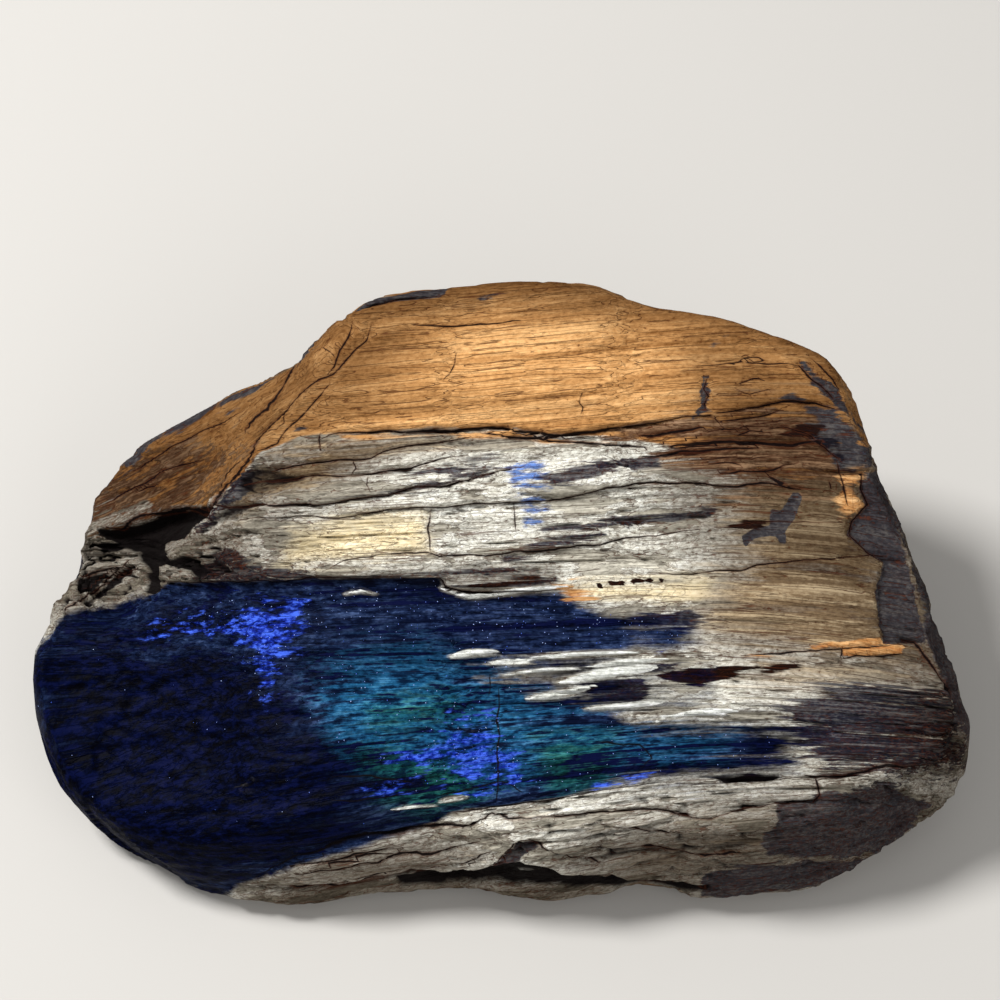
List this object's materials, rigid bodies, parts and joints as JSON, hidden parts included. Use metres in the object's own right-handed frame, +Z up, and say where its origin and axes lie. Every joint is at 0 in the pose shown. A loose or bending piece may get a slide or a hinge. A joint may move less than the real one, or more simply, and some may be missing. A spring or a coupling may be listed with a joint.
{
  "type": "petrified wood chunk",
  "caption": "Rough wedge of petrified wood lying on its broken underside, with a grained split face in tan and cream and an inlay of dark agate.",
  "frame": {"origin": "under the middle of the chunk's bounding box, on the surface that it lies on", "axes": "+X along the wood grain, towards the pointed right end; +Y towards the thick back edge; +Z up from the resting face"},
  "size_m": [0.15, 0.0888, 0.0562],
  "materials": {
    "fossil_wood": "rough split silica with fine wood grain, glossier where the dark agate shows"
  },
  "bodies": {
    "root": {"petrified_wood": "fossil_wood"}
  },
  "joints": []
}
